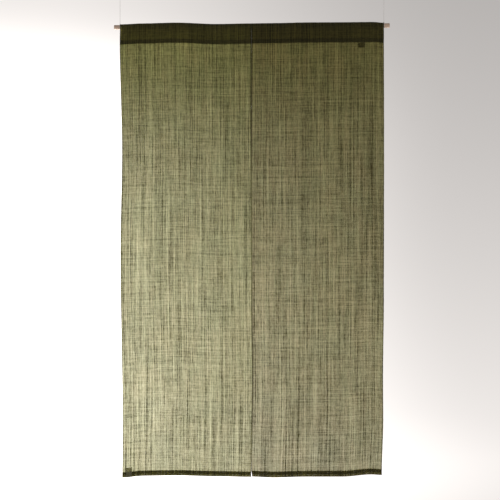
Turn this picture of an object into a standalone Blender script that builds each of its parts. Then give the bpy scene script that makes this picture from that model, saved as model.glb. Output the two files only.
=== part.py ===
"""Noren curtain on a rod: two widths of hemp cloth, side by side, on a plain dowel.

Each width is one folded sheet. It hangs from a rod pocket at its top, which is the
cloth turned to the back over the rod and stitched down, and ends in a turned hem.
The dowel hangs a little out of level from a white cord tied round each end, and two
small blank labels are sewn to the right-hand width and the left-hand one.

Frame: metres, +X along the rod to the viewer's right, -Y towards the viewer, +Z up.
The origin is the middle of the dowel, on its axis.
"""

from collections import namedtuple
import math

import bpy

MM = 0.001

# ---------------------------------------------------------------- driving sizes
CURTAIN_WIDTH = 880 * MM  # both widths, side by side
CLOTH_DROP = 1507 * MM  # from the fold over the rod to the bottom of the hem
HEADING_HEIGHT = 68.5 * MM  # from the fold over the rod to the stitched foot
FOOT_BAND = 15 * MM  # height over which the heading's layers lie stitched together
CLOTH_THICKNESS = 1.2 * MM
DOUBLED_THICKNESS = 3.0 * MM  # the hem and the heading's foot band
CENTRE_GAP = 0.6 * MM  # between the two widths

ROD_RADIUS = 7.5 * MM
ROD_LENGTH = 916 * MM
ROD_CHAMFER = 1.0 * MM
ROD_SLOPE = 0.0068  # rise of the dowel for each metre towards +X
ROD_SIDES = 32

POCKET_ABOVE = 0.6 * MM  # from the dowel to the cloth that lies over it
POCKET_BESIDE = 1.6 * MM  # from the dowel to the cloth in front of and behind it

CORD_RADIUS = 0.5 * MM
CORD_TOP = 95 * MM  # height of the cord's end above the origin
CORD_BESIDE_CLOTH = 1.0 * MM  # from the cloth's corner to the cord's surface
EYE_RADIUS = 4.5 * MM  # centre line of the loop at the cord's upper end
PIECE_GAP = 0.3 * MM

LABEL_THICKNESS = 0.8 * MM
LABEL_TOP_WIDTH = 23 * MM
LABEL_TOP_HEIGHT = 17 * MM
LABEL_TOP_FROM_EDGE = 64 * MM  # from the outer selvedge to the label's nearer side
LABEL_BOTTOM_WIDTH = 20 * MM
LABEL_BOTTOM_HEIGHT = 32 * MM
LABEL_BOTTOM_FROM_EDGE = 12 * MM
LABEL_BOTTOM_ABOVE_HEM = 14.5 * MM  # how far it stands above the hem's top edge

COLUMNS = 17  # sections across one width, less one
BODY_ROWS = 15  # rows between the hem and the heading
POCKET_ROWS = 3  # rows up each side of the pocket, below the dowel
ARC_STEPS = 8  # chords over the dowel

# ------------------------------------------------------------- how it hangs
# A row for each crest or trough across one width, from its outer selvedge (0) to the
# centre slit (1). stand_off is how far the fold stands above the dowel, extra_drop
# how much longer the cloth hangs there, and the depths how far it lies behind the
# plane of the dowel half-way down and at the hem. All but across are in mm.
Station = namedtuple("Station", "across stand_off extra_drop depth_middle depth_hem")
# A row for each bulge of the outer selvedge: the share of the drop, and how far the
# edge lies inside the full width, in mm.
Edge = namedtuple("Edge", "down inset")

LEFT_STATIONS = (
    Station(0.00, 0.8, 0.0, 4.0, -5.0),
    Station(0.16, 3.5, 0.0, -2.5, 6.0),
    Station(0.42, 5.6, -1.5, 3.0, -6.5),
    Station(0.74, 0.0, 0.0, -3.5, 7.0),
    Station(1.00, 1.2, 2.0, 1.0, -2.5),
)
RIGHT_STATIONS = (
    Station(0.00, 0.4, -0.5, -3.0, 5.5),
    Station(0.08, 3.3, 0.0, -2.5, 4.0),
    Station(0.30, 3.0, 3.5, 3.5, -7.0),
    Station(0.58, 3.3, 6.5, -4.0, 6.0),
    Station(0.82, 1.8, 4.0, 2.5, -5.0),
    Station(1.00, 1.2, 2.0, 1.0, 2.0),
)
LEFT_EDGE = (
    Edge(0.00, 3.0),
    Edge(0.03, 0.5),
    Edge(0.28, 7.5),
    Edge(0.50, 2.0),
    Edge(0.90, 10.5),
    Edge(1.00, 9.5),
)
RIGHT_EDGE = (
    Edge(0.00, 2.5),
    Edge(0.03, 0.8),
    Edge(0.25, 0.2),
    Edge(0.62, 1.0),
    Edge(0.78, 3.5),
    Edge(0.88, 2.5),
    Edge(1.00, 7.0),
)
# The line on which the widths meet, as mm to the right of the curtain's middle.
CENTRE_LINE = (
    Edge(0.00, -1.0),
    Edge(0.25, -1.5),
    Edge(0.60, 0.5),
    Edge(0.80, 3.0),
    Edge(1.00, -2.0),
)

Width = namedtuple("Width", "side stations edge hem_height")
LEFT = Width(-1, LEFT_STATIONS, LEFT_EDGE, 17.8 * MM)
RIGHT = Width(1, RIGHT_STATIONS, RIGHT_EDGE, 19.4 * MM)

# --------------------------------------------------------------------- finishes
# base colour (linear), roughness
CLOTH_FINISH = ((0.16, 0.145, 0.06), 0.9)
WOOD_FINISH = ((0.62, 0.45, 0.34), 0.55)
CORD_FINISH = ((0.85, 0.85, 0.83), 0.6)
LABEL_FINISH = ((0.13, 0.125, 0.07), 0.85)


# ------------------------------------------------------------------- small tools
def eased(rows, key, name, at):
    """The named column of a table at `at`, level at each row and smooth between them."""
    below = rows[0]
    for above in rows[1:]:
        low, high = getattr(below, key), getattr(above, key)
        if at <= high:
            share = min(max((at - low) / (high - low), 0.0), 1.0)
            share = share * share * (3 - 2 * share)
            return getattr(below, name) * (1 - share) + getattr(above, name) * share
        below = above
    return getattr(below, name)


def mixed(start, end, share):
    return tuple(a + (b - a) * share for a, b in zip(start, end))


def material(name, finish):
    colour, roughness = finish
    made = bpy.data.materials.new(name)
    made.use_nodes = True
    shader = made.node_tree.nodes["Principled BSDF"]
    shader.inputs["Base Color"].default_value = (*colour, 1.0)
    shader.inputs["Roughness"].default_value = roughness
    shader.inputs["Metallic"].default_value = 0.0
    return made


def mesh_object(name, points, faces, finish):
    mesh = bpy.data.meshes.new(name)
    mesh.from_pydata(points, [], faces)
    mesh.validate()
    made = bpy.data.objects.new(name, mesh)
    bpy.context.collection.objects.link(made)
    mesh.materials.append(finish)
    mesh.shade_smooth()
    mesh.set_sharp_from_angle(angle=math.radians(35))
    return made


# ------------------------------------------------------------------- the widths
def rod_height(x):
    return ROD_SLOPE * x


def top_height(width, across, x):
    """Height of the fold that lies over the dowel."""
    stand_off = eased(width.stations, "across", "stand_off", across) * MM
    return rod_height(x) + ROD_RADIUS + POCKET_ABOVE + stand_off + CLOTH_THICKNESS


def place_across(width, across, down):
    """x of a point, from its share across the width and its share of the drop."""
    outer = CURTAIN_WIDTH / 2 - eased(width.edge, "down", "inset", down) * MM
    centre = eased(CENTRE_LINE, "down", "inset", down) * MM
    inner = centre + width.side * CENTRE_GAP / 2
    return width.side * outer + (inner - width.side * outer) * across


def depth(width, across, down):
    """How far the cloth's front face lies behind the plane of the dowel."""
    middle = eased(width.stations, "across", "depth_middle", across) * MM
    hem = eased(width.stations, "across", "depth_hem", across) * MM
    heading = HEADING_HEIGHT / CLOTH_DROP
    share = max(down - heading, 0.0) / (1 - heading)
    # level at the heading, `middle` half-way down and `hem` at the bottom
    return middle * 4 * share * (1 - share) + hem * share * share


def body_rows(width):
    """(distance below the fold, thickness) of each row, from the hem to the pocket."""
    step = PIECE_GAP
    hem_top = CLOTH_DROP - width.hem_height
    rows = [
        (CLOTH_DROP, DOUBLED_THICKNESS),
        (hem_top, DOUBLED_THICKNESS),
    ]
    for row in range(BODY_ROWS + 1):
        share = row / BODY_ROWS
        rows.append(
            (
                (hem_top - step) * (1 - share) + (HEADING_HEIGHT + step) * share,
                CLOTH_THICKNESS,
            )
        )
    rows.append((HEADING_HEIGHT, DOUBLED_THICKNESS))
    rows.append((HEADING_HEIGHT - FOOT_BAND, DOUBLED_THICKNESS))
    return rows


def section(width, across):
    """One section of a width: its front and back points from the hem to the pocket,
    then the pocket's outer points and inner points, from front to back."""
    front, back = [], []
    for below, thickness in body_rows(width):
        down = below / CLOTH_DROP
        x = place_across(width, across, down)
        extra = eased(width.stations, "across", "extra_drop", across) * MM * down
        z = top_height(width, across, x) - below - extra
        y = depth(width, across, down) - CLOTH_THICKNESS / 2
        front.append((x, y, z))
        back.append((x, y + thickness, z))
    tip = mixed(front[-1], back[-1], 0.5)

    x = place_across(width, across, 0.0)
    low = rod_height(x)
    half_wide = ROD_RADIUS + POCKET_BESIDE
    half_high = top_height(width, across, x) - CLOTH_THICKNESS - low
    outer, inner = [], []
    for step in range(ARC_STEPS + 1):
        turn = math.pi * step / ARC_STEPS
        c, s = -math.cos(turn), math.sin(turn)
        inner.append((x, half_wide * c, low + half_high * s))
        outer.append(
            (
                x,
                (half_wide + CLOTH_THICKNESS) * c,
                low + (half_high + CLOTH_THICKNESS) * s,
            )
        )
    up_front = [mixed(front[-1], outer[0], row / POCKET_ROWS) for row in range(1, POCKET_ROWS)]
    up_back = [mixed(back[-1], outer[-1], row / POCKET_ROWS) for row in range(1, POCKET_ROWS)]
    in_front = [mixed(tip, inner[0], row / POCKET_ROWS) for row in range(1, POCKET_ROWS)]
    in_back = [mixed(tip, inner[-1], row / POCKET_ROWS) for row in range(1, POCKET_ROWS)]
    outer = up_front + outer + up_back[::-1]
    inner = in_front + inner + in_back[::-1]
    return front, back, tip, outer, inner


def build_width(name, width, finish):
    """A folded sheet with a tunnel for the dowel, skinned through its sections."""
    points, faces, columns = [], [], []
    for column in range(COLUMNS + 1):
        front, back, tip, outer, inner = section(width, column / COLUMNS)
        start = len(points)
        points.extend(front + outer + back[::-1])
        skin = list(range(start, len(points)))
        start = len(points)
        points.append(tip)
        points.extend(inner)
        tunnel = list(range(start, len(points)))
        columns.append((skin, tunnel))

    rows = len(front)
    loop = len(outer)
    for (skin, tunnel), (next_skin, next_tunnel) in zip(columns, columns[1:]):
        for ring, next_ring, turn in ((skin, next_skin, 1), (tunnel, next_tunnel, -1)):
            for a in range(len(ring)):
                b = (a + 1) % len(ring)
                quad = (ring[a], ring[b], next_ring[b], next_ring[a])
                faces.append(quad[::turn])
    for (skin, tunnel), turn in ((columns[0], -1), (columns[-1], 1)):
        far = len(skin) - 1
        for row in range(rows - 2):
            quad = (skin[row], skin[row + 1], skin[far - row - 1], skin[far - row])
            faces.append(quad[::turn])
        last = rows - 1
        join = (skin[last - 1], skin[last], tunnel[0], skin[far - last], skin[far - last + 1])
        faces.append(join[::turn])
        for step in range(loop + 1):
            in_a, in_b = tunnel[step], tunnel[(step + 1) % len(tunnel)]
            quad = (skin[last + step], skin[last + step + 1], in_b, in_a)
            faces.append(quad[::turn])
    # the left-hand width's sections run towards +X and the right-hand one's towards -X
    if width.side < 0:
        faces = [face[::-1] for face in faces]
    return mesh_object(name, points, faces, finish)


# ------------------------------------------------------------------- the labels
def label_faces(columns, rows):
    """Faces of a slab whose front and back points are laid out column by column."""
    size = columns * rows
    faces = []
    for column in range(columns - 1):
        for row in range(rows - 1):
            a = column * rows + row
            quad = (a, a + rows, a + rows + 1, a + 1)
            faces.append(quad)
            faces.append(tuple(p + size for p in quad[::-1]))
    rim = [row for row in range(rows)]
    rim += [column * rows + rows - 1 for column in range(1, columns)]
    rim += [(columns - 1) * rows + row for row in range(rows - 2, -1, -1)]
    rim += [column * rows for column in range(columns - 2, 0, -1)]
    for a, b in zip(rim, rim[1:] + rim[:1]):
        faces.append((a, b, b + size, a + size))
    return faces


def build_label(name, width, from_edge, wide, below_top, tall, front, finish):
    """A slab that lies PIECE_GAP off the front or back of a width's own facets."""
    columns, rows = 4, 4
    full = CURTAIN_WIDTH / 2
    near, far = [], []
    for column in range(columns):
        across = (from_edge + wide * column / (columns - 1)) / full
        for row in range(rows):
            below = below_top + tall * (rows - 1 - row) / (rows - 1)
            down = below / CLOTH_DROP
            x = place_across(width, across, down)
            extra = eased(width.stations, "across", "extra_drop", across) * MM * down
            z = top_height(width, across, x) - below - extra
            # the cloth is flat between two of its sections
            left = math.floor(across * COLUMNS) / COLUMNS
            share = (across - left) * COLUMNS
            start, end = (depth(width, at, down) for at in (left, left + 1 / COLUMNS))
            face = start * (1 - share) + end * share - CLOTH_THICKNESS / 2
            if front:
                back_of_label = face - PIECE_GAP
                front_of_label = back_of_label - LABEL_THICKNESS
            else:
                front_of_label = face + CLOTH_THICKNESS + PIECE_GAP
                back_of_label = front_of_label + LABEL_THICKNESS
            near.append((x, front_of_label, z))
            far.append((x, back_of_label, z))
    faces = label_faces(columns, rows)
    if width.side > 0:
        faces = [face[::-1] for face in faces]
    return mesh_object(name, near + far, faces, finish)


# ------------------------------------------------------------- the dowel and cords
def build_rod(finish):
    """The dowel, with its end faces square to X and a small chamfer round each."""
    half = ROD_LENGTH / 2
    stations = (
        (-half, ROD_RADIUS - ROD_CHAMFER),
        (-half + ROD_CHAMFER, ROD_RADIUS),
        (half - ROD_CHAMFER, ROD_RADIUS),
        (half, ROD_RADIUS - ROD_CHAMFER),
    )
    points, faces = [], []
    for x, radius in stations:
        for side in range(ROD_SIDES):
            turn = 2 * math.pi * side / ROD_SIDES
            points.append((x, radius * math.cos(turn), rod_height(x) + radius * math.sin(turn)))
    for ring in range(len(stations) - 1):
        for side in range(ROD_SIDES):
            a = ring * ROD_SIDES + side
            b = ring * ROD_SIDES + (side + 1) % ROD_SIDES
            faces.append((a, b, b + ROD_SIDES, a + ROD_SIDES))
    faces.append(tuple(range(ROD_SIDES))[::-1])
    last = (len(stations) - 1) * ROD_SIDES
    faces.append(tuple(range(last, last + ROD_SIDES)))
    return mesh_object("rod", points, faces, finish)


def cord_x(width):
    """Where the cord is tied: just past the corner of the cloth."""
    corner = CURTAIN_WIDTH / 2 - width.edge[0].inset * MM
    return width.side * (corner + CORD_BESIDE_CLOTH + CORD_RADIUS)


def build_cord(name, width, finish):
    """The taut cord, from the top of its tie up to its eye."""
    x = cord_x(width)
    foot = rod_height(x) + ROD_RADIUS + 2 * PIECE_GAP + 2 * CORD_RADIUS
    points_along = 28
    curve = bpy.data.curves.new(name, "CURVE")
    curve.dimensions = "3D"
    curve.bevel_depth = CORD_RADIUS
    curve.bevel_resolution = 2
    curve.use_fill_caps = True
    spline = curve.splines.new("POLY")
    spline.points.add(points_along - 1)
    for index, point in enumerate(spline.points):
        share = index / (points_along - 1)
        point.co = (x, 0.0, foot + (CORD_TOP - foot) * share, 1.0)
    curve.materials.append(finish)
    made = bpy.data.objects.new(name, curve)
    bpy.context.collection.objects.link(made)
    return made


def build_ring(name, centre, radius, axis, finish):
    """A closed turn of cord round the dowel (axis X) or an upright eye (axis Y)."""
    turned = {"X": (0, math.pi / 2, 0), "Y": (math.pi / 2, 0, 0)}[axis]
    bpy.ops.mesh.primitive_torus_add(
        major_segments=32,
        minor_segments=8,
        major_radius=radius,
        minor_radius=CORD_RADIUS,
        location=centre,
        rotation=turned,
    )
    made = bpy.context.active_object
    made.name = name
    made.data.name = name
    made.data.materials.append(finish)
    made.data.shade_smooth()
    return made


def clear_scene():
    for old in list(bpy.data.objects):
        bpy.data.objects.remove(old, do_unlink=True)


def build():
    clear_scene()
    cloth = material("hemp_cloth", CLOTH_FINISH)
    wood = material("bare_wood", WOOD_FINISH)
    white = material("white_cord", CORD_FINISH)
    tape = material("label_tape", LABEL_FINISH)

    build_width("panel_left", LEFT, cloth)
    build_width("panel_right", RIGHT, cloth)
    build_rod(wood)
    build_label(
        "label_top",
        RIGHT,
        LABEL_TOP_FROM_EDGE,
        LABEL_TOP_WIDTH,
        HEADING_HEIGHT + 2 * PIECE_GAP,
        LABEL_TOP_HEIGHT,
        False,
        tape,
    )
    build_label(
        "label_bottom",
        LEFT,
        LABEL_BOTTOM_FROM_EDGE,
        LABEL_BOTTOM_WIDTH,
        CLOTH_DROP - LEFT.hem_height - LABEL_BOTTOM_ABOVE_HEM,
        LABEL_BOTTOM_HEIGHT,
        True,
        tape,
    )
    tie_radius = ROD_RADIUS + PIECE_GAP + CORD_RADIUS
    eye_height = CORD_TOP + PIECE_GAP + CORD_RADIUS + EYE_RADIUS
    for side, width in (("left", LEFT), ("right", RIGHT)):
        x = cord_x(width)
        build_cord("cord_" + side, width, white)
        build_ring("tie_" + side, (x, 0, rod_height(x)), tie_radius, "X", white)
        build_ring("eye_" + side, (x, 0, eye_height), EYE_RADIUS, "Y", white)


build()
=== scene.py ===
"""Looks of the noren curtain: two widths of sheer hemp on a plain dowel.

Run as a script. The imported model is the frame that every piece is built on.
Frame: metres, +X along the dowel to the viewer's right, -Y towards the viewer, +Z up,
with the origin in the middle of the dowel, on its axis.
"""

from collections import namedtuple
import math

import bpy
from bpy.props import (
    FloatProperty,
    FloatVectorProperty,
    IntProperty,
    PointerProperty,
)
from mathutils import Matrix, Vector, noise


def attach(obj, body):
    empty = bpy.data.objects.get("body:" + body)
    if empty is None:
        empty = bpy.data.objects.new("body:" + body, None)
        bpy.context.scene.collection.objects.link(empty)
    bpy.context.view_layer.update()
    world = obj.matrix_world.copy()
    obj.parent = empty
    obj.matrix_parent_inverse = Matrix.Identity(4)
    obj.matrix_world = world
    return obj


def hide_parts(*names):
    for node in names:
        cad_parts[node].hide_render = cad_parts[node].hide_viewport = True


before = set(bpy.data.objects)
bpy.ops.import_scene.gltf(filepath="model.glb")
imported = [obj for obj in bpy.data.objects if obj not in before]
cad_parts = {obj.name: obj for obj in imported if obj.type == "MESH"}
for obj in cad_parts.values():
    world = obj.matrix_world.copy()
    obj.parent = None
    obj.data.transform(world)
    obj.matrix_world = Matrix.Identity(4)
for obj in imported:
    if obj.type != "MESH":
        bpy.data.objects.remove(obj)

bl_info = {
    "name": "Noren curtain",
    "version": (1, 0, 0),
    "blender": (4, 5, 0),
    "location": "View3D > Sidebar > Noren",
    "description": "Builds a sheer two-width noren curtain on its dowel and cords",
    "category": "Add Mesh",
}

MM = 0.001

# ------------------------------------------------------------ the cut and the hang
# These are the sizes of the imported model, in metres.
CURTAIN_WIDTH = 880 * MM
CLOTH_DROP = 1507 * MM  # from the fold over the dowel to the bottom of the hem
HEADING_HEIGHT = 68.5 * MM
FOOT_BAND = 15 * MM  # height over which the heading's layers are stitched together
SOLID_THICKNESS = 1.2 * MM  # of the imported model's own cloth
CENTRE_GAP = 0.6 * MM
ROD_RADIUS = 7.5 * MM
ROD_LENGTH = 916 * MM
ROD_SLOPE = 0.0068
POCKET_ABOVE = 0.6 * MM
POCKET_BESIDE = 1.6 * MM
CORD_RADIUS = 0.5 * MM
CORD_TOP = 95 * MM
CORD_BESIDE_CLOTH = 1.0 * MM
EYE_RADIUS = 4.5 * MM
PIECE_GAP = 0.3 * MM
CORD_POINTS = 28

# across is the share of a width from its outer selvedge (0) to the centre slit (1).
Station = namedtuple("Station", "across stand_off extra_drop depth_middle depth_hem")
Edge = namedtuple("Edge", "down inset")
Width = namedtuple("Width", "side stations edge hem_height")

LEFT = Width(
    -1,
    (
        Station(0.00, 0.8, 0.0, 4.0, -5.0),
        Station(0.16, 3.5, 0.0, -2.5, 6.0),
        Station(0.42, 5.6, -1.5, 3.0, -6.5),
        Station(0.74, 0.0, 0.0, -3.5, 7.0),
        Station(1.00, 1.2, 2.0, 1.0, -2.5),
    ),
    (
        Edge(0.00, 3.0),
        Edge(0.03, 0.5),
        Edge(0.28, 7.5),
        Edge(0.50, 2.0),
        Edge(0.90, 10.5),
        Edge(1.00, 9.5),
    ),
    17.8 * MM,
)
RIGHT = Width(
    1,
    (
        Station(0.00, 0.4, -0.5, -3.0, 5.5),
        Station(0.08, 3.3, 0.0, -2.5, 4.0),
        Station(0.30, 3.0, 3.5, 3.5, -7.0),
        Station(0.58, 3.3, 6.5, -4.0, 6.0),
        Station(0.82, 1.8, 4.0, 2.5, -5.0),
        Station(1.00, 1.2, 2.0, 1.0, 2.0),
    ),
    (
        Edge(0.00, 2.5),
        Edge(0.03, 0.8),
        Edge(0.25, 0.2),
        Edge(0.62, 1.0),
        Edge(0.78, 3.5),
        Edge(0.88, 2.5),
        Edge(1.00, 7.0),
    ),
    19.4 * MM,
)
CENTRE_LINE = (
    Edge(0.00, -1.0),
    Edge(0.25, -1.5),
    Edge(0.60, 0.5),
    Edge(0.80, 3.0),
    Edge(1.00, -2.0),
)
# How far the right-hand width's inner selvedge reaches behind the other one, in mm. It
# is sewn edge to edge at the top, laps in the slit and parts at the hem.
LAP = (
    Edge(0.00, 0.5),
    Edge(0.17, 0.7),
    Edge(0.186, 0.5),
    Edge(0.200, 1.8),
    Edge(0.955, 1.8),
    Edge(0.968, 0.5),
    Edge(0.985, 0.4),
    Edge(1.00, -2.4),
)

# ------------------------------------------------------------------ making the sheet
FRONT_LIFT = -0.35 * MM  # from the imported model's mid-surface to the front layer
LAYER_STEP = 0.9 * MM  # from one stitched layer to the next
COLUMNS = 112
BODY_ROWS = 232
TUNNEL_ROWS = 14
ARC_ROWS = 14
FOLD_ROWS = 4
HEM_TURN_IN = 11 * MM
HEADING_TURN_IN = 15 * MM

# -------------------------------------------------------------------- how it is woven
YARN_SPACING = 1.25 * MM
# along the sheet from its hem end: where the see-through share is largest, and where it is
# least; the change between them is painted light, brighter towards the hem
SEE_THROUGH_FOOT_AT = 0.05
SEE_THROUGH_TOP_AT = 1.47
SEE_THROUGH_FADE = 1.6
# red, green and blue of the greener and of the browner yarn, as shares of the cloth's own
LEFT_HUES = (0.97, 1.0, 0.95), (1.05, 0.98, 1.0)
RIGHT_HUES = (1.03, 1.0, 0.90), (1.14, 0.98, 0.95)

# -------------------------------------------------------------------- sewing and labels
SEAM_END = 271 * MM  # below the fold, where the centre seam stops and the slit starts
SEAM_START = 3 * MM  # below the heading
HEADING_STITCH_UP = 3.0 * MM  # above the heading's foot
HEM_STITCH_DOWN = 2.2 * MM  # below the hem's top
TAPE_STAND_OFF = 0.35 * MM
TAPE_COLUMNS = 24
TAPE_ROWS = 30

# --------------------------------------------------------------------------- the stage
LENS = 69.25
SENSOR = 36.0
CAMERA_PLACE = (-0.0062, -3.2, -0.7437)
WORLD_LEVEL = 0.10
COVE = 1.5  # radius of the curve from the floor up into the wall
VIEW_TOP = 1.48  # height on the wall from which its brightness is counted down


# ------------------------------------------------------------------------- settings
def length(name, description, default):
    return FloatProperty(
        name=name,
        description=description,
        default=default,
        min=0.0,
        precision=5,
        subtype="DISTANCE",
        unit="LENGTH",
    )


def share(name, description, default):
    return FloatProperty(
        name=name,
        description=description,
        default=default,
        min=0.0,
        max=1.0,
        subtype="FACTOR",
    )


def amount(name, description, default):
    return FloatProperty(name=name, description=description, default=default)


def colour(name, description, default):
    return FloatVectorProperty(
        name=name,
        description=description,
        default=default,
        size=3,
        min=0.0,
        max=1.0,
        subtype="COLOR",
    )


class NorenCloth(bpy.types.PropertyGroup):
    """Sizes and colours of the two widths"""

    thickness: length("Thickness", "Thickness of one layer of the cloth", 0.4 * MM)
    wave: length("Wave", "How far the hanging cloth waves in and out", 1.5 * MM)
    shine_through: colour(
        "Shine-through", "Colour of light that comes through the yarn", (0.205, 0.206, 0.064)
    )
    face: colour("Face", "Colour of the yarn lit from the front", (0.088, 0.079, 0.026))
    # how much of the cloth is see-through at the top and at the foot: the rise from top to
    # foot is painted light, brighter towards the hem as lit from below
    see_through_top: share("Open at the top", "Share of open weave below the heading", 0.008)
    see_through_foot: share("Open at the foot", "Share of open weave above the hem", 0.088)
    # painted shade: the right-hand width is the same cloth made darker, as it hangs in less
    # light than the left
    right_painted_shade: share("Right-hand tone", "Brightness of the right-hand width", 0.82)
    slub: share("Slub", "How much the streaks of the yarn stand out", 0.85)
    open_slub: amount("Open slub", "How much the open weave follows the streaks", 1.0)
    selvedge: length("Selvedge", "Width of the close-woven selvedge", 4.5 * MM)


class NorenRod(bpy.types.PropertyGroup):
    """Colours of the dowel"""

    wood: colour("Wood", "Main colour of the dowel", (0.90, 0.70, 0.56))
    grain: colour("Grain", "Colour of the dowel's darker grain", (0.66, 0.47, 0.34))


class NorenCord(bpy.types.PropertyGroup):
    """Sizes and colours of the two cords"""

    lay: length("Lay", "Length in which the cord's strands turn once", 4.2 * MM)
    colour: colour("Colour", "Colour of the cord", (0.80, 0.79, 0.75))


class NorenStitch(bpy.types.PropertyGroup):
    """Sizes and colours of the sewing"""

    spacing: length("Spacing", "Distance from one stitch to the next", 3.4 * MM)
    length: length("Length", "Length of one stitch", 2.7 * MM)
    thickness: length("Thickness", "Thickness of the thread", 0.45 * MM)
    colour: colour("Colour", "Colour of the thread", (0.030, 0.027, 0.010))
    seed: IntProperty(name="Seed", description="Seed of the hand-made unevenness", default=4)


class NorenLabel(bpy.types.PropertyGroup):
    """Sizes and colours of the two blank labels"""

    thickness: length("Thickness", "Thickness of one layer of the tape", 0.35 * MM)
    colour: colour("Colour", "Colour of the tape", (0.24, 0.235, 0.14))
    shine_through: colour("Shine-through", "Light through the tape", (0.78, 0.76, 0.56))


class NorenStage(bpy.types.PropertyGroup):
    """The plain room round the curtain"""

    floor: FloatProperty(
        name="Floor",
        description="Height of the floor",
        default=-1.95,
        subtype="DISTANCE",
        unit="LENGTH",
    )
    radius: length("Radius", "Distance from the curtain to the wall", 5.5)
    colour: colour("Colour", "Colour of the wall and floor", (1.0, 0.955, 0.925))
    front_level: amount("Front level", "Brightness of the room in front", 0.42)
    side_lamp: amount("Side lamp", "Power of the tall lamp behind the left side", 40.0)
    low_lamp: amount("Low lamp", "Power of the low lamp behind the hem", 6.4)


SETTINGS = {
    "noren_cloth": NorenCloth,
    "noren_rod": NorenRod,
    "noren_cord": NorenCord,
    "noren_stitch": NorenStitch,
    "noren_label": NorenLabel,
    "noren_stage": NorenStage,
}


# ---------------------------------------------------------------------- node graphs
class Signal:
    """A number that runs through a material's nodes. Python's arithmetic works on it."""

    def __init__(self, graph, socket):
        self.graph = graph
        self.socket = socket

    def math(self, operation, other=None, swapped=False):
        values = [self] if other is None else [self, other]
        if swapped:
            values.reverse()
        return self.graph.node("ShaderNodeMath", values, operation=operation)

    def __add__(self, other):
        return self.math("ADD", other)

    def __sub__(self, other):
        return self.math("SUBTRACT", other)

    def __rsub__(self, other):
        return self.math("SUBTRACT", other, swapped=True)

    def __mul__(self, other):
        return self.math("MULTIPLY", other)

    def __truediv__(self, other):
        return self.math("DIVIDE", other)

    def __pow__(self, other):
        return self.math("POWER", other)

    def __rpow__(self, other):
        return self.math("POWER", other, swapped=True)

    __radd__ = __add__
    __rmul__ = __mul__

    def least(self, other):
        return self.math("MINIMUM", other)

    def most(self, other):
        return self.math("MAXIMUM", other)

    def size(self):
        return self.math("ABSOLUTE")

    def sine(self):
        return self.math("SINE")


class Graph:
    """A new material, or the world, and what is wired into it."""

    def __init__(self, owner):
        owner.use_nodes = True
        self.owner = owner
        self.tree = owner.node_tree
        self.tree.nodes.clear()

    def node(self, kind, values=(), output=0, **settings):
        """Adds a node, sets its settings and then its sockets, and returns an output."""
        made = self.tree.nodes.new(kind)
        for name, value in settings.items():
            if name == "stops":
                self.set_stops(made.color_ramp, value)
            else:
                setattr(made, name, value)
        pairs = values.items() if isinstance(values, dict) else enumerate(values)
        for key, value in pairs:
            self.put(made.inputs[key], value)
        return Signal(self, made.outputs[output]) if made.outputs else made

    def put(self, socket, value):
        if isinstance(value, Signal):
            self.tree.links.new(value.socket, socket)
        elif socket.type == "RGBA":
            socket.default_value = (*value, 1.0)
        else:
            socket.default_value = value

    def set_stops(self, ramp, stops):
        while len(ramp.elements) < len(stops):
            ramp.elements.new(0.5)
        for element, (place, value) in zip(ramp.elements, stops):
            element.position = place
            element.color = (*value, 1.0)

    def vector(self, x, y, z):
        return self.node("ShaderNodeCombineXYZ", (x, y, z))

    def parts(self, vector):
        split = self.tree.nodes.new("ShaderNodeSeparateXYZ")
        self.put(split.inputs[0], vector)
        return tuple(Signal(self, output) for output in split.outputs)

    def noise(self, vector, detail=0.0, roughness=0.5):
        """Smooth noise about zero, with cells one unit across."""
        values = {"Vector": vector, "Scale": 1.0, "Detail": detail, "Roughness": roughness}
        return self.node("ShaderNodeTexNoise", values, output="Fac") - 0.5

    def ramp(self, value, low, high, to_low=0.0, to_high=1.0):
        """Runs smoothly from one level to another as value goes from low to high."""
        return self.node(
            "ShaderNodeMapRange",
            (value, low, high, to_low, to_high),
            interpolation_type="SMOOTHSTEP",
        )

    def blend(self, factor, first, second):
        """A colour between two colours."""
        values = {0: factor, 6: first, 7: second}
        return self.node("ShaderNodeMix", values, output=2, data_type="RGBA")

    def scaled(self, colour, factor):
        """A colour made brighter or darker."""
        return self.node("ShaderNodeVectorMath", {0: colour, 3: factor}, operation="SCALE")

    def bump(self, height, distance, strength=1.0):
        values = {"Strength": strength, "Distance": distance, "Height": height}
        return self.node("ShaderNodeBump", values)

    def mixed(self, factor, first, second):
        return self.node("ShaderNodeMixShader", (factor, first, second))

    def finish(self, surface):
        self.node("ShaderNodeOutputMaterial", (surface,))
        return self.owner


def new_graph(name):
    return Graph(bpy.data.materials.new(name))


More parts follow.
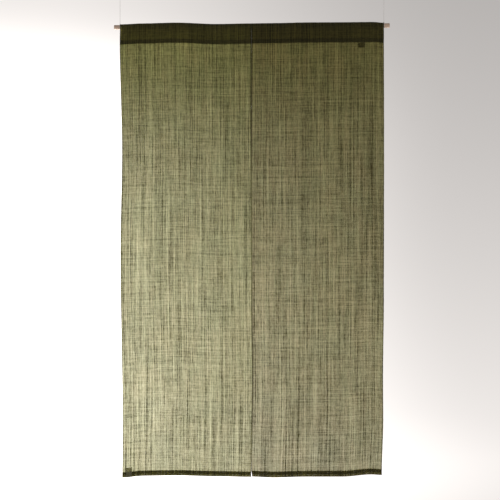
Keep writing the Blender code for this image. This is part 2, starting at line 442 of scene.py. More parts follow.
def hemp_cloth(name, cloth, painted_shade_level, hues, seed):
    """Sheer hemp: uneven yarn that the light shines through, with a little open weave.

    The uv map is in metres: u from the outer selvedge, v along the sheet from the edge
    that is turned into the hem. The weave is open on outer faces only, so that light
    passes each thickened layer once.
    """
    g = new_graph(name)
    u, v, _ = g.parts(g.node("ShaderNodeUVMap", uv_map="cloth"))

    def streaks(across_mm, along_mm, number, detail=0.0):
        place = g.vector(u / (across_mm * MM), v / (along_mm * MM), seed + number)
        return g.noise(place, detail)

    warp = (
        streaks(1.9, 460, 0.5) * 1.7
        + streaks(1.9, 130, 9.5) * 1.2
        + streaks(1.9, 30, 17.5) * 0.9
        + streaks(1.7, 9, 26.5) * 0.9
        + streaks(6.5, 160, 35.5) * 0.35
    )
    weft = (
        streaks(420, 2.6, 44.5) * 0.6
        + streaks(60, 2.4, 53.5) * 0.7
        + streaks(14, 2.2, 62.5) * 0.6
    )
    cloud = streaks(70, 90, 71.5, 2.0)
    sheerness = warp + weft  # above zero where the yarn runs thin

    # the last few mm at each selvedge are woven closer
    from_edge = u.least(CURTAIN_WIDTH / 2 - u)
    selvedge = g.ramp(from_edge, cloth.selvedge * 0.45, cloth.selvedge, 1.0, 0.0)

    light = (1.0 + sheerness * cloth.slub + cloud * 0.3).most(0.25)
    light = light * (1.0 - selvedge * 0.45)
    hue = g.ramp(streaks(9, 70, 80.5, 1.0) + cloud, -0.35, 0.35)
    # painted_shade_level scales both colours of a width: painted shade for the width that
    # hangs in less light
    green, brown = (
        tuple(c * k * painted_shade_level for c, k in zip(cloth.shine_through, shift)) for shift in hues
    )
    shine = g.scaled(g.blend(hue, green, brown), light)
    face = g.scaled(tuple(c * painted_shade_level for c in cloth.face), (light + 1.0) * 0.5)

    turns = 2 * math.pi / YARN_SPACING
    weave = (u * turns).sine() * (v * turns).sine()
    height = weave * 0.35 - sheerness * 0.5
    normal = g.bump(height, 0.25 * MM, 0.6)

    yarn = g.mixed(
        0.5,
        g.node(
            "ShaderNodeBsdfPrincipled",
            {
                "Base Color": face,
                "Roughness": g.ramp(sheerness, -0.4, 0.4, 0.95, 0.8),
                "Sheen Weight": 0.15,
                "Sheen Roughness": 0.6,
                "Specular IOR Level": 0.15,
                "Normal": normal,
            },
        ),
        g.node("ShaderNodeBsdfTranslucent", {"Color": shine, "Normal": normal}),
    )
    # the open weave lets the light through; its share grows from the heading down to the hem
    # as painted light, brightening the lower cloth as the light from below does
    up = ((v - SEE_THROUGH_FOOT_AT) / (SEE_THROUGH_TOP_AT - SEE_THROUGH_FOOT_AT)).most(0.0).least(1.0)
    see_through_share = cloth.see_through_foot + (up**SEE_THROUGH_FADE) * (cloth.see_through_top - cloth.see_through_foot)
    see_through_share = see_through_share * (1.0 + sheerness * cloth.open_slub).most(0.05)
    see_through_share = see_through_share * (1.0 - selvedge * 0.6)
    inside = g.node("ShaderNodeNewGeometry", output="Backfacing")
    solid = (1.0 - see_through_share) * (1.0 - inside)
    return g.finish(g.mixed(solid, g.node("ShaderNodeBsdfTransparent"), yarn))


def bare_wood(name, rod):
    """Plain pale wood with a fine straight grain and rings on its ends."""
    g = new_graph(name)
    x, y, z = g.parts(g.node("ShaderNodeTexCoord", output="Object"))
    z = z - x * ROD_SLOPE
    bend = g.noise(g.vector(x * 6, y * 60, z * 60)) * (1.2 * MM)
    far = ((y + 3.1 * MM + bend) ** 2.0 + (z - 5.2 * MM + bend) ** 2.0) ** 0.5
    rings = (far * (2 * math.pi / (1.9 * MM))).sine()
    pores = g.noise(g.vector(x * 45, y * 2600, z * 2600), 1.0)
    grain = g.ramp(rings * 0.5 + pores * 1.6, -0.9, 1.1)
    patch = g.noise(g.vector(x * 9, y * 30, z * 30), 2.0)
    base = g.scaled(g.blend(grain, rod.grain, rod.wood), 1.0 + patch * 0.35)
    normal = g.bump(pores + rings * 0.15, 0.12 * MM, 0.5)
    return g.finish(
        g.node(
            "ShaderNodeBsdfPrincipled",
            {
                "Base Color": base,
                "Roughness": g.ramp(pores, -0.3, 0.3, 0.62, 0.48),
                "Specular IOR Level": 0.35,
                "Normal": normal,
            },
        )
    )


def spun_thread(name, shade, fibre_mm):
    """Spun thread: matt, with fine fibres along it."""
    g = new_graph(name)
    x, y, z = g.parts(g.node("ShaderNodeTexCoord", output="Object"))
    scale = 1.0 / (fibre_mm * MM)
    fibres = g.noise(g.vector(x * scale, y * scale, z * scale * 0.35), 2.0)
    base = g.scaled(shade, 1.0 + fibres * 0.9)
    return g.finish(
        g.node(
            "ShaderNodeBsdfPrincipled",
            {
                "Base Color": base,
                "Roughness": g.ramp(fibres, -0.3, 0.3, 0.85, 0.7),
                "Sheen Weight": 0.2,
                "Sheen Roughness": 0.5,
                "Normal": g.bump(fibres, 0.08 * MM, 0.6),
            },
        )
    )


def label_tape(name, label):
    """Woven tape with close ribs across it and a firmer edge. Its uv map is in metres."""
    g = new_graph(name)
    u, v, _ = g.parts(g.node("ShaderNodeUVMap", uv_map="cloth"))
    ribs = (v * (2 * math.pi / (0.7 * MM))).sine()
    ends = (u * (2 * math.pi / (0.5 * MM))).sine()
    worn = g.noise(g.vector(u * 260, v * 260, 3.5), 3.0)
    slub = g.noise(g.vector(u * 60, v * 900, 7.5), 1.0)
    light = 1.0 + worn * 0.7 + slub * 0.6 + ribs * ends * 0.08
    shade = g.scaled(label.colour, light)
    shine = g.scaled(label.shine_through, light)
    normal = g.bump(ribs * 0.5 + ends * 0.3 + slub, 0.12 * MM, 0.7)
    return g.finish(
        g.mixed(
            0.5,
            g.node(
                "ShaderNodeBsdfPrincipled",
                {
                    "Base Color": shade,
                    "Roughness": g.ramp(worn, -0.3, 0.3, 0.9, 0.75),
                    "Sheen Weight": 0.15,
                    "Normal": normal,
                },
            ),
            g.node("ShaderNodeBsdfTranslucent", {"Color": shine, "Normal": normal}),
        )
    )


# ----------------------------------------------------------------------- mesh tools
def mesh_object(name, points, faces, material):
    mesh = bpy.data.meshes.new(name)
    mesh.from_pydata([tuple(p) for p in points], [], faces)
    made = bpy.data.objects.new(name, mesh)
    bpy.context.collection.objects.link(made)
    mesh.materials.append(material)
    mesh.shade_smooth()
    return made


def settled(made):
    """Puts what an object's modifiers make into its own plain mesh."""
    bpy.context.view_layer.update()
    depsgraph = bpy.context.evaluated_depsgraph_get()
    seen = made.evaluated_get(depsgraph)
    mesh = bpy.data.meshes.new_from_object(seen, depsgraph=depsgraph)
    old = made.data
    made.modifiers.clear()
    made.data = mesh
    mesh.name = made.name
    bpy.data.meshes.remove(old)
    return made


def thickened(made, thickness):
    """Gives a single surface the thickness of cloth, half of it to each side."""
    solid = made.modifiers.new("thickness", "SOLIDIFY")
    solid.thickness = thickness
    solid.offset = 0.0
    solid.use_even_offset = True
    solid.use_quality_normals = True
    return settled(made)


def carried(path):
    """Each point of a line, with two directions square to it that don't spin."""
    normal = (path[1] - path[0]).orthogonal().normalized()
    for index, place in enumerate(path):
        ahead = path[min(index + 1, len(path) - 1)]
        behind = path[max(index - 1, 0)]
        along = (ahead - behind).normalized()
        normal = (normal - along * normal.dot(along)).normalized()
        yield place, normal, along.cross(normal)


def ring_faces(rings, sides):
    """The faces that join each ring of points to the next."""
    faces = []
    for ring in range(rings - 1):
        for side in range(sides):
            a, b = ring * sides + side, ring * sides + (side + 1) % sides
            faces.append((a, b, b + sides, a + sides))
    return faces


def tube(path, radius, sides):
    """Points and faces of a round tube with closed ends, along a list of points."""
    points = []
    for place, normal, other in carried(path):
        for side in range(sides):
            turn = 2 * math.pi * side / sides
            points.append(place + (normal * math.cos(turn) + other * math.sin(turn)) * radius)
    faces = ring_faces(len(path), sides)
    faces.append(tuple(range(sides))[::-1])
    faces.append(tuple(range((len(path) - 1) * sides, len(path) * sides)))
    return points, faces


def resampled(path, step):
    """The same line with its points evenly spaced."""
    lengths = [0.0]
    for a, b in zip(path, path[1:]):
        lengths.append(lengths[-1] + (b - a).length)
    count = max(int(round(lengths[-1] / step)), 2)
    made, piece = [], 0
    for index in range(count + 1):
        goal = lengths[-1] * index / count
        while piece < len(path) - 2 and lengths[piece + 1] < goal:
            piece += 1
        span = lengths[piece + 1] - lengths[piece]
        part = 0.0 if span == 0 else (goal - lengths[piece]) / span
        made.append(path[piece].lerp(path[piece + 1], min(max(part, 0.0), 1.0)))
    return made


def joined(parts):
    """Several lists of points and faces as one."""
    points, faces = [], []
    for more_points, more_faces in parts:
        start = len(points)
        points += more_points
        faces += [tuple(p + start for p in face) for face in more_faces]
    return points, faces


def twisted(path, radius, lay, strands=3, sides=6):
    """A laid cord: strands that wind round each other along a line."""
    centre = resampled(path, lay / 12)
    strand = radius * 0.52
    parts = []
    for number in range(strands):
        line = []
        travelled, last = 0.0, centre[0]
        for place, normal, other in carried(centre):
            travelled += (place - last).length
            last = place
            turn = 2 * math.pi * (travelled / lay + number / strands)
            aside = normal * math.cos(turn) + other * math.sin(turn)
            line.append(place + aside * (radius - strand))
        parts.append(tube(line, strand, sides))
    return joined(parts)


def keep(made, slot, *nodes):
    """Fixes a piece to the model and hides the solids that it stands for."""
    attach(made, "root")
    if nodes:
        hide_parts(*nodes)
    return made


# ------------------------------------------------------------------- how it hangs
def smooth(part):
    """Runs from 0 to 1 as part does, level at both ends and beyond them."""
    part = min(max(part, 0.0), 1.0)
    return part * part * (3 - 2 * part)


def eased(rows, key, name, at):
    """The named column of a table at `at`, level at each row and smooth between them."""
    below = rows[0]
    for above in rows[1:]:
        low, high = getattr(below, key), getattr(above, key)
        if at <= high:
            part = smooth((at - low) / (high - low))
            return getattr(below, name) * (1 - part) + getattr(above, name) * part
        below = above
    return getattr(below, name)


def rod_height(x):
    return ROD_SLOPE * x


def top_height(width, across, x):
    stand_off = eased(width.stations, "across", "stand_off", across) * MM
    return rod_height(x) + ROD_RADIUS + POCKET_ABOVE + stand_off + SOLID_THICKNESS


def lap_reach(width, across, down):
    """How far a point goes in under the other width, and how far behind it."""
    if width.side < 0:
        return 0.0, 0.0
    lap = eased(LAP, "down", "inset", down) * MM
    near = smooth((across - 0.97) / 0.03)
    behind = 0.45 * MM + 0.35 * MM * min(max(lap / (1.8 * MM), 0.0), 1.0)
    return -lap * near, behind * near


def place_across(width, across, down):
    outer = CURTAIN_WIDTH / 2 - eased(width.edge, "down", "inset", down) * MM
    centre = eased(CENTRE_LINE, "down", "inset", down) * MM
    inner = centre + width.side * CENTRE_GAP / 2
    return width.side * outer + (inner - width.side * outer) * across


def depth(width, across, down):
    middle = eased(width.stations, "across", "depth_middle", across) * MM
    hem = eased(width.stations, "across", "depth_hem", across) * MM
    heading = HEADING_HEIGHT / CLOTH_DROP
    part = max(down - heading, 0.0) / (1 - heading)
    return middle * 4 * part * (1 - part) + hem * part * part


def ripple(width, across, below, wave):
    """The small waves that the cloth keeps from its weaving and folding."""
    x, z = across * 0.44, below
    seed = 11.3 * (2 + width.side)
    loose = min(max((below - HEADING_HEIGHT) / 0.10, 0.0), 1.0)
    slow = noise.noise(Vector((x * 9, seed, z * 3.2))) * wave
    quick = noise.noise(Vector((x * 34, seed + 5, z * 15))) * wave * 0.28
    edge = math.exp(-min(across, 1 - across) * 440 / 9)
    curl = noise.noise(Vector((0.0, seed + across * 3, z * 11))) * wave * 1.3 * edge
    return (slow + curl) * loose + quick * (0.3 + 0.7 * loose)


def cloth_point(width, across, below, lift, wave):
    """A point of the hanging cloth, `below` the fold and `lift` behind its surface."""
    down = min(below / CLOTH_DROP, 1.0)
    x = place_across(width, across, down)
    under, behind = lap_reach(width, across, down)
    tug = noise.noise(Vector((3.1 * width.side, 0.0, below * 85))) * 0.45 * MM
    tug *= math.exp(-across * 440 / 12) * width.side
    extra = eased(width.stations, "across", "extra_drop", across) * MM * down
    z = top_height(width, across, x) - below - extra
    y = depth(width, across, down) + lift + behind + ripple(width, across, below, wave)
    return Vector((x + under + tug, y, z))


def sheet_section(width, across, wave, thickness):
    """One section of a width's sheet, from the edge turned into the hem to the edge
    turned into the heading."""
    line = []
    hem_top = CLOTH_DROP - width.hem_height
    layers = [FRONT_LIFT + step * LAYER_STEP for step in range(3)]
    small, large = LAYER_STEP / 2, LAYER_STEP

    def hang(start, end, rows, lift, first=True):
        for row in range(0 if first else 1, rows + 1):
            below = start + (end - start) * row / rows
            line.append(cloth_point(width, across, below, lift, wave))

    def fold(below, start, end, direction):
        radius = abs(end - start) / 2
        for row in range(1, FOLD_ROWS):
            turn = math.pi * row / FOLD_ROWS
            lift = (start + end) / 2 + (start - end) / 2 * math.cos(turn)
            line.append(
                cloth_point(
                    width, across, below + direction * radius * math.sin(turn), lift, wave
                )
            )

    bottom = CLOTH_DROP - thickness / 2 - large
    foot = HEADING_HEIGHT - thickness / 2 - small
    # the hem: edge turned in, back, front
    hang(hem_top + HEM_TURN_IN, hem_top + small, 4, layers[1])
    fold(hem_top + small, layers[1], layers[2], -1)
    hang(hem_top + small, bottom, 7, layers[2])
    fold(bottom, layers[2], layers[0], 1)
    hang(bottom, hem_top, 7, layers[0])
    # the single cloth, and the front of the heading
    hang(hem_top, HEADING_HEIGHT, BODY_ROWS, layers[0], first=False)
    hang(HEADING_HEIGHT, HEADING_HEIGHT - FOOT_BAND, 5, layers[0], first=False)

    # the tunnel: up the front, over the dowel and down the back
    x = place_across(width, across, 0.0) + lap_reach(width, across, 0.0)[0]
    low = rod_height(x)
    half_wide = ROD_RADIUS + POCKET_BESIDE + SOLID_THICKNESS / 2
    half_high = top_height(width, across, x) - SOLID_THICKNESS / 2 - low
    half_high += noise.noise(Vector((x * 70, 9.0, 0.0))) * 0.3 * MM
    front = line[-1]
    back = cloth_point(width, across, HEADING_HEIGHT - FOOT_BAND, layers[2], wave)

    def up(start, end_y, part):
        ease = math.sin(part * math.pi / 2)
        crease = noise.noise(Vector((x * 38, end_y * 900, part * 1.7))) * 0.7 * MM
        return Vector(
            (
                start.x + (x - start.x) * part,
                start.y + (end_y - start.y) * ease + crease * math.sin(part * math.pi),
                start.z + (low - start.z) * part,
            )
        )

    for row in range(1, TUNNEL_ROWS):
        line.append(up(front, -half_wide, row / TUNNEL_ROWS))
    for row in range(ARC_ROWS + 1):
        turn = math.pi * row / ARC_ROWS
        line.append(
            Vector((x, -half_wide * math.cos(turn), low + half_high * math.sin(turn)))
        )
    for row in range(TUNNEL_ROWS - 1, 0, -1):
        line.append(up(back, half_wide, row / TUNNEL_ROWS))
    hang(HEADING_HEIGHT - FOOT_BAND, foot, 5, layers[2])
    fold(foot, layers[2], layers[1], 1)
    hang(foot, HEADING_HEIGHT - HEADING_TURN_IN, 5, layers[1])
    return line


def build_sheet(name, width, cloth, material):
    """One width: a single sheet on its folds, thickened."""
    lines = [
        sheet_section(width, column / COLUMNS, cloth.wave, cloth.thickness)
        for column in range(COLUMNS + 1)
    ]
    rows = len(lines[0])
    middle = lines[COLUMNS // 2]
    along = [0.0]
    for a, b in zip(middle, middle[1:]):
        along.append(along[-1] + (b - a).length)
    points = [place for line in lines for place in line]
    faces, texture = [], []
    for column in range(COLUMNS):
        for row in range(rows - 1):
            a = column * rows + row
            face = (a, a + rows, a + rows + 1, a + 1)
            faces.append(face if width.side < 0 else face[::-1])
    made = mesh_object(name, points, faces, material)
    layer = made.data.uv_layers.new(name="cloth")
    for loop in made.data.loops:
        column, row = divmod(loop.vertex_index, rows)
        layer.data[loop.index].uv = (CURTAIN_WIDTH / 2 * column / COLUMNS, along[row])
    thickened(made, cloth.thickness)
    return made, along[-1]


# ---------------------------------------------------------------------- the pieces
def build_tape(name, width, start, wide, top, tall, lift, material):
    """A piece of tape that follows the cloth, `start` in from its outer selvedge and
    `top` below the fold."""
    wave = settings("noren_cloth").wave
    points, faces = [], []
    for column in range(TAPE_COLUMNS + 1):
        across = (start + wide * column / TAPE_COLUMNS) / (CURTAIN_WIDTH / 2)
        for row in range(TAPE_ROWS + 1):
            below = top + tall * row / TAPE_ROWS
            points.append(cloth_point(width, across, below, lift, wave))
    for column in range(TAPE_COLUMNS):
        for row in range(TAPE_ROWS):
            a = column * (TAPE_ROWS + 1) + row
            face = (a, a + 1, a + TAPE_ROWS + 2, a + TAPE_ROWS + 1)
            faces.append(face if width.side < 0 else face[::-1])
    made = mesh_object(name, points, faces, material)
    layer = made.data.uv_layers.new(name="cloth")
    for loop in made.data.loops:
        column, row = divmod(loop.vertex_index, TAPE_ROWS + 1)
        layer.data[loop.index].uv = (wide * column / TAPE_COLUMNS, tall * row / TAPE_ROWS)
    return made


def cord_x(width):
    corner = CURTAIN_WIDTH / 2 - width.edge[0].inset * MM
    return width.side * (corner + CORD_BESIDE_CLOTH + CORD_RADIUS)


def knot_line(centre, size, height):
    """A small overhand knot, as a closed three-lobed line about an upright cord."""
    line = []
    for step in range(61):
        t = 2 * math.pi * step / 60
        line.append(
            Vector(
                (
                    centre.x + size * (math.sin(t) + 2 * math.sin(2 * t)) / 3,
                    centre.y + size * (math.cos(t) - 2 * math.cos(2 * t)) / 3,
                    centre.z - height * math.sin(3 * t),
                )
            )
        )
    return line


def build_cord(side, width, cord, material):
    """The taut cord, the turns that tie it to the dowel, and the eye at its top."""
    x = cord_x(width)
    foot = rod_height(x) + ROD_RADIUS + 2 * PIECE_GAP + 2 * CORD_RADIUS
    route = [
        Vector((x, 0.0, foot + (CORD_TOP - foot) * step / (CORD_POINTS - 1)))
        for step in range(CORD_POINTS)
    ]

    def laid(line, size=1.0):
        return twisted(line, CORD_RADIUS * size, cord.lay)

    made = mesh_object("twisted_cord_" + side, *laid(route), material)

    turns = []
    around = ROD_RADIUS + PIECE_GAP + CORD_RADIUS
    for step in range(97):
        turn = 2 * math.pi * 2 * step / 96
        turns.append(
            Vector(
                (
                    x + (step / 96 - 0.5) * 1.15 * MM,
                    around * math.sin(turn),
                    rod_height(x) + around * math.cos(turn),
                )
            )
        )
    knot = knot_line(Vector((x, 0.0, foot + 0.9 * MM)), 1.9 * MM, 0.75 * MM)
    tie = mesh_object(
        "cord_tie_" + side,
        *joined([laid(turns), laid(knot, 0.8)]),
        material,
    )

    centre = CORD_TOP + PIECE_GAP + CORD_RADIUS + EYE_RADIUS
    loop = []
    for step in range(49):
        turn = 2 * math.pi * step / 48
        aside, up = EYE_RADIUS * math.sin(turn), EYE_RADIUS * math.cos(turn)
        loop.append(Vector((x + aside, 0.0, centre - up)))
    knot = knot_line(Vector((x, 0.0, CORD_TOP - 0.6 * MM)), 1.9 * MM, 0.75 * MM)
    eye = mesh_object(
        "cord_eye_" + side,
        *joined([laid(loop), laid(knot, 0.8)]),
        material,
    )
    keep(made, "cord", "cord_" + side)
    keep(tie, "cord", "tie_" + side)
    keep(eye, "cord", "eye_" + side)
    tuple(route[0])
    CORD_TOP - foot
    [tuple(p) for p in route]


def build_rod(material):
    """The dowel, with softly rounded ends."""
    sides = 48
    half = ROD_LENGTH / 2
    rounding = 1.2 * MM
    left = [(-half, ROD_RADIUS * 0.45)]
    for step in range(5):
        turn = math.pi / 2 * step / 4
        inward, down = rounding * (1 - math.cos(turn)), rounding * (1 - math.sin(turn))
        left.append((-half + inward, ROD_RADIUS - down))
    middle = [(-half + ROD_LENGTH * step / 24, ROD_RADIUS) for step in range(1, 24)]
    right = [(-x, radius) for x, radius in reversed(left)]
    points = []
    stations = left + middle + right
    for x, radius in stations:
        for side in range(sides):
            turn = 2 * math.pi * side / sides
            worn = 1 + 0.006 * noise.noise(Vector((x * 12, math.cos(turn), math.sin(turn))))
            points.append(
                Vector(
                    (
                        x,
                        radius * worn * math.cos(turn),
                        rod_height(x) + radius * worn * math.sin(turn),
                    )
                )
            )
    faces = ring_faces(len(stations), sides)
    faces.append(tuple(range(sides))[::-1])
    last = (len(stations) - 1) * sides
    faces.append(tuple(range(last, last + sides)))
    return mesh_object("dowel", points, faces, material)


# ------------------------------------------------------------------- Geometry Nodes
def stitch_tree():
    """Stitches set along a line, each a little uneven."""
    tree = bpy.data.node_groups.new("stitch row", "GeometryNodeTree")
    sockets = {}

    def socket(name, kind, default=None, direction="INPUT"):
        made = tree.interface.new_socket(name=name, in_out=direction, socket_type=kind)
        if default is not None:
            made.default_value = default
        sockets[name] = made.identifier

    socket("Line", "NodeSocketGeometry")
    socket("Spacing", "NodeSocketFloat", 3.4 * MM)
    socket("Length", "NodeSocketFloat", 2.7 * MM)
    socket("Thickness", "NodeSocketFloat", 0.45 * MM)
    socket("Slant", "NodeSocketFloat", 0.0)
    socket("Unevenness", "NodeSocketFloat", 0.1)
    socket("Seed", "NodeSocketInt", 0)
    socket("Thread", "NodeSocketMaterial")
    socket("Stitches", "NodeSocketGeometry", direction="OUTPUT")

    def node(kind, values=None, **settings):
        made = tree.nodes.new(kind)
        for name, value in settings.items():
            setattr(made, name, value)
        for key, value in (values or {}).items():
            if isinstance(value, bpy.types.NodeSocket):
                tree.links.new(value, made.inputs[key])
            else:
                made.inputs[key].default_value = value
        return made

    given = node("NodeGroupInput").outputs
    line = node("GeometryNodeMeshToCurve", {"Mesh": given["Line"]}).outputs["Curve"]
    laid = node(
        "GeometryNodeCurveToPoints", {"Curve": line, "Length": given["Spacing"]}, mode="LENGTH"
    ).outputs

    def uneven(seed_shift):
        seed = node("ShaderNodeMath", {0: given["Seed"], 1: seed_shift}, operation="ADD")
        spread = node(
            "ShaderNodeMath", {0: given["Unevenness"], 1: -1.0}, operation="MULTIPLY"
        )
        drawn = node("FunctionNodeRandomValue", {"Seed": seed.outputs[0]}, data_type="FLOAT")
        tree.links.new(spread.outputs[0], drawn.inputs[2])
        tree.links.new(given["Unevenness"], drawn.inputs[3])
        return drawn.outputs[1]

    along = node(
        "ShaderNodeMath", {0: uneven(1), 1: given["Spacing"]}, operation="MULTIPLY"
    )
    moved = node("ShaderNodeVectorMath", {0: laid["Tangent"]}, operation="SCALE")
    tree.links.new(along.outputs[0], moved.inputs["Scale"])
    placed = node(
        "GeometryNodeSetPosition", {"Geometry": laid["Points"], "Offset": moved.outputs[0]}
    )
    turn = node("ShaderNodeMath", {0: uneven(2), 1: given["Slant"]}, operation="ADD")
    turn_vector = node("ShaderNodeCombineXYZ", {"Y": turn.outputs[0]})
    turned = node("FunctionNodeEulerToRotation", {0: turn_vector.outputs[0]})
    facing = node("FunctionNodeAlignRotationToVector", {"Vector": laid["Tangent"]}, axis="X")
    facing = node(
        "FunctionNodeRotateRotation",
        {"Rotation": facing.outputs[0], "Rotate By": turned.outputs[0]},
        rotation_space="GLOBAL",
    )
    bead = node("GeometryNodeMeshUVSphere", {"Segments": 6, "Rings": 5, "Radius": 0.5})
    size = node(
        "ShaderNodeCombineXYZ",
        {"X": given["Length"], "Y": given["Thickness"], "Z": given["Thickness"]},
    )
    stitch = node(
        "GeometryNodeTransform", {"Geometry": bead.outputs["Mesh"], "Scale": size.outputs[0]}
    )
    grown = node("ShaderNodeMath", {0: uneven(3), 1: 1.0}, operation="ADD")
    scale = node("ShaderNodeCombineXYZ", {"X": grown.outputs[0], "Y": 1.0, "Z": 1.0})
    rows = node(
        "GeometryNodeInstanceOnPoints",
        {
            "Points": placed.outputs[0],
            "Instance": stitch.outputs[0],
            "Rotation": facing.outputs[0],
            "Scale": scale.outputs[0],
        },
    )
    real = node("GeometryNodeRealizeInstances", {"Geometry": rows.outputs[0]})
    smooth = node("GeometryNodeSetShadeSmooth", {"Geometry": real.outputs[0]})
    finished = node(
        "GeometryNodeSetMaterial", {"Geometry": smooth.outputs[0], "Material": given["Thread"]}
    )
    node("NodeGroupOutput", {"Stitches": finished.outputs[0]})
    return tree, sockets


def build_stitches(name, lines, thread, values):
    """Stitches along lines of points, as one plain mesh."""
    points, edges = [], []
    for line in lines:
        start = len(points)
        points += [tuple(p) for p in line]
        edges += [(start + i, start + i + 1) for i in range(len(line) - 1)]
    mesh = bpy.data.meshes.new(name)
    mesh.from_pydata(points, edges, [])
    made = bpy.data.objects.new(name, mesh)
    bpy.context.collection.objects.link(made)
    tree, sockets = stitch_tree()
    modifier = made.modifiers.new("stitches", "NODES")
    modifier.node_group = tree
    for key, value in {**values, "Thread": thread}.items():
        modifier[sockets[key]] = value
    return settled(made)


# ------------------------------------------------------------------------ operators
def settings(name):
    return getattr(bpy.context.scene, name)


class NOREN_OT_camera(bpy.types.Operator):
    """Put the camera square in front of the curtain"""

    bl_idname = "noren.camera"
    bl_label = "Camera"

    def execute(self, context):
        data = bpy.data.cameras.new("camera")
        data.sensor_width = SENSOR
        data.lens = LENS
        data.clip_end = 100.0
        made = bpy.data.objects.new("camera", data)
        made.location = CAMERA_PLACE
        made.rotation_euler = (math.pi / 2, 0.0, 0.0)
        context.collection.objects.link(made)
        context.scene.camera = made
        context.scene.view_settings.view_transform = "Standard"
        return {"FINISHED"}


class NOREN_OT_cords(bpy.types.Operator):
    """Tie a white cord round each end of the dowel"""

    bl_idname = "noren.cords"
    bl_label = "Cords"

    def execute(self, context):
        cord = settings("noren_cord")
        white = spun_thread("white cotton cord", cord.colour, 0.25)
        build_cord("left", LEFT, cord, white)
        build_cord("right", RIGHT, cord, white)
        return {"FINISHED"}


class NOREN_OT_cloth(bpy.types.Operator):
    """Hang the two widths of hemp"""

    bl_idname = "noren.cloth"
    bl_label = "Cloth"

    def execute(self, context):
        cloth = settings("noren_cloth")
        # the right-hand width gets painted shade, as it hangs in less light than the left
        for side, width, painted_shade_level, hues, seed in (
            ("left", LEFT, 1.0, LEFT_HUES, 0.0),
            ("right", RIGHT, cloth.right_painted_shade, RIGHT_HUES, 300.0),
        ):
            material = hemp_cloth("hemp cloth " + side, cloth, painted_shade_level, hues, seed)
            made, long = build_sheet("cloth_" + side, width, cloth, material)
            keep(made, "cloth", "panel_" + side)
        return {"FINISHED"}


class NOREN_OT_rod(bpy.types.Operator):
    """Make the dowel"""

    bl_idname = "noren.rod"
    bl_label = "Dowel"

    def execute(self, context):
        keep(build_rod(bare_wood("bare wood", settings("noren_rod"))), "rod", "rod")
        return {"FINISHED"}


class NOREN_OT_labels(bpy.types.Operator):
    """Sew on the two blank labels"""

    bl_idname = "noren.labels"
    bl_label = "Labels"

    def execute(self, context):
        label = settings("noren_label")
        cloth = settings("noren_cloth")
        tape = label_tape("label tape", label)
        outside = cloth.thickness / 2 + TAPE_STAND_OFF
        behind_heading = HEADING_HEIGHT + 2 * PIECE_GAP
        over_hem = CLOTH_DROP - LEFT.hem_height - 14.5 * MM
        for side, width, start, wide, top, tall, lift in (
            ("top", RIGHT, 64 * MM, 23 * MM, behind_heading, 17 * MM, FRONT_LIFT + outside),
            ("bottom", LEFT, 12 * MM, 20 * MM, over_hem, 32 * MM, FRONT_LIFT - outside),
        ):
            made = build_tape("tape_" + side, width, start, wide, top, tall, lift, tape)
            thickened(made, label.thickness)
            keep(made, "label", "label_" + side)
        return {"FINISHED"}


class NOREN_OT_stitches(bpy.types.Operator):
    """Sew the heading, the hems and the centre seam"""

    bl_idname = "noren.stitches"
    bl_label = "Stitches"

    def execute(self, context):
        stitch = settings("noren_stitch")
        cloth = settings("noren_cloth")
        thread = spun_thread("dark green thread", stitch.colour, 0.3)
        outside = cloth.thickness / 2 + stitch.thickness * 0.15
        front = FRONT_LIFT - outside
        back = FRONT_LIFT + 2 * LAYER_STEP + outside

        def row_across(width, below, lift):
            return [
                cloth_point(width, 0.004 + 0.992 * step / 160, below, lift, cloth.wave)
                for step in range(161)
            ]

        rows = []
        for width in (LEFT, RIGHT):
            for lift in (front, back):
                rows.append(row_across(width, HEADING_HEIGHT - HEADING_STITCH_UP, lift))
                below = CLOTH_DROP - width.hem_height + HEM_STITCH_DOWN
                rows.append(row_across(width, below, lift))
        values = {
            "Spacing": stitch.spacing,
            "Length": stitch.length,
            "Thickness": stitch.thickness,
            "Unevenness": 0.12,
            "Seed": stitch.seed,
        }
        made = build_stitches("stitches_heading_and_hem", rows, thread, values)
        keep(made, "cloth")

        seam_top = HEADING_HEIGHT + SEAM_START
        seam = []
        for step in range(61):
            below = seam_top + (SEAM_END - seam_top) * step / 60
            seam.append(cloth_point(LEFT, 0.9985, below, front, cloth.wave))
        values = {
            "Spacing": 7.5 * MM,
            "Length": 5.5 * MM,
            "Thickness": 0.9 * MM,
            "Slant": 0.35,
            "Unevenness": 0.4,
            "Seed": stitch.seed + 20,
        }
        made = build_stitches("stitches_centre", [seam], thread, values)
        keep(made, "cloth")
        return {"FINISHED"}


class NOREN_OT_stage(bpy.types.Operator):
    """Set the plain room and its soft light round the curtain"""

    bl_idname = "noren.stage"
    bl_label = "Stage"

    def execute(self, context):
        stage = settings("noren_stage")
        build_room(stage)
        world = bpy.data.worlds.new("room light")
        context.scene.world = world
        g = Graph(world)
        light = {"Color": tuple(stage.colour), "Strength": WORLD_LEVEL}
        level = g.node("ShaderNodeBackground", light)
        g.node("ShaderNodeOutputWorld", (level,))
        for name, place, size, power in (
            ("side lamp", (-0.85, 1.15, -1.25), (0.7, 1.2), stage.side_lamp),
            ("low lamp", (0.55, 0.95, -1.35), (1.0, 0.5), stage.low_lamp),
        ):
            data = bpy.data.lights.new(name, "AREA")
            data.shape = "RECTANGLE"
            data.size, data.size_y = size
            data.energy = power
            data.color = tuple(stage.colour)
            lamp = bpy.data.objects.new(name, data)
            lamp.location = place
            lamp.rotation_euler = (-math.pi / 2, 0.0, 0.0)
            lamp.visible_camera = False
            context.collection.objects.link(lamp)
        return {"FINISHED"}


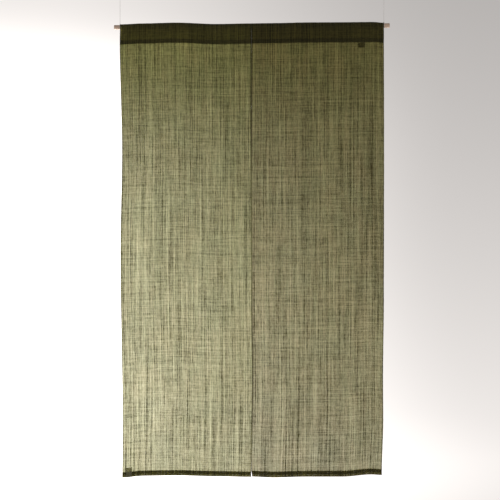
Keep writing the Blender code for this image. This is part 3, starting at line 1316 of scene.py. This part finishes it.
def build_room(stage):
    """A round room: a flat floor that curves up into the wall, and glows by itself.

    It is brighter towards the floor and behind the left-hand side, as lit from there.
    The cloth's own light from behind comes from the lamps, so the room is kept from it.
    """
    segments = 96
    profile = [(0.001, stage.floor)]
    profile += [((stage.radius - COVE) * step / 6, stage.floor) for step in range(1, 7)]
    for step in range(1, 13):
        turn = math.pi / 2 * step / 12
        profile.append(
            (
                stage.radius - COVE + COVE * math.sin(turn),
                stage.floor + COVE - COVE * math.cos(turn),
            )
        )
    profile += [(stage.radius, stage.floor + COVE + 1.0 * step) for step in range(1, 6)]
    points = []
    for radius, height in profile:
        for segment in range(segments):
            turn = 2 * math.pi * segment / segments
            points.append((radius * math.cos(turn), radius * math.sin(turn), height))
    faces = ring_faces(len(profile), segments)
    faces.append(tuple(range(segments)))
    g = new_graph("room")
    x, y, z = g.parts(g.node("ShaderNodeTexCoord", output="Object"))
    away = ((x * x + y * y) ** 0.5).least(stage.radius)
    rise = z - (stage.radius - away) * 0.22
    at_top = g.ramp(x, -1.9, 2.3, -0.2, -1.09)
    growth = g.ramp(x, -1.9, 2.3, 0.12, 0.228)
    glow = g.ramp(x, -1.9, 1.8, 1.6, 0.0) * g.ramp(rise, 0.1, 1.5, 1.0, 0.0)
    behind = 2.0 ** (at_top + glow + growth * (VIEW_TOP - rise))
    behind = behind * g.ramp(z, 1.9, 3.4, 1.0, 0.35)
    behind = behind * g.ramp(x.size(), 2.8, 4.4, 1.0, 0.45)
    mask = g.ramp(y, -1.0, 2.5)
    level = mask * behind.least(3.4) + (1.0 - mask) * stage.front_level
    emission = g.node("ShaderNodeEmission", {"Color": tuple(stage.colour), "Strength": level})
    made = mesh_object("room", points, faces, g.finish(emission))
    made.visible_transmission = False
    return made


class NOREN_PT_pieces(bpy.types.Panel):
    """The curtain's pieces"""

    bl_idname = "NOREN_PT_pieces"
    bl_label = "Noren curtain"
    bl_space_type = "VIEW_3D"
    bl_region_type = "UI"
    bl_category = "Noren"

    def draw(self, context):
        for operator in OPERATORS:
            self.layout.operator(operator.bl_idname)


# the order in which they are made
OPERATORS = (
    NOREN_OT_camera,
    NOREN_OT_cords,
    NOREN_OT_rod,
    NOREN_OT_cloth,
    NOREN_OT_labels,
    NOREN_OT_stitches,
    NOREN_OT_stage,
)


def register():
    for name, group in SETTINGS.items():
        bpy.utils.register_class(group)
        setattr(bpy.types.Scene, name, PointerProperty(type=group))
    for made in (*OPERATORS, NOREN_PT_pieces):
        bpy.utils.register_class(made)


def unregister():
    for made in reversed((*OPERATORS, NOREN_PT_pieces)):
        bpy.utils.unregister_class(made)
    for name, group in SETTINGS.items():
        delattr(bpy.types.Scene, name)
        bpy.utils.unregister_class(group)


def main():
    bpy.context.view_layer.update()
    register()
    for operator in OPERATORS:
        group, name = operator.bl_idname.split(".")
        getattr(getattr(bpy.ops, group), name)()


if __name__ == "__main__":
    main()
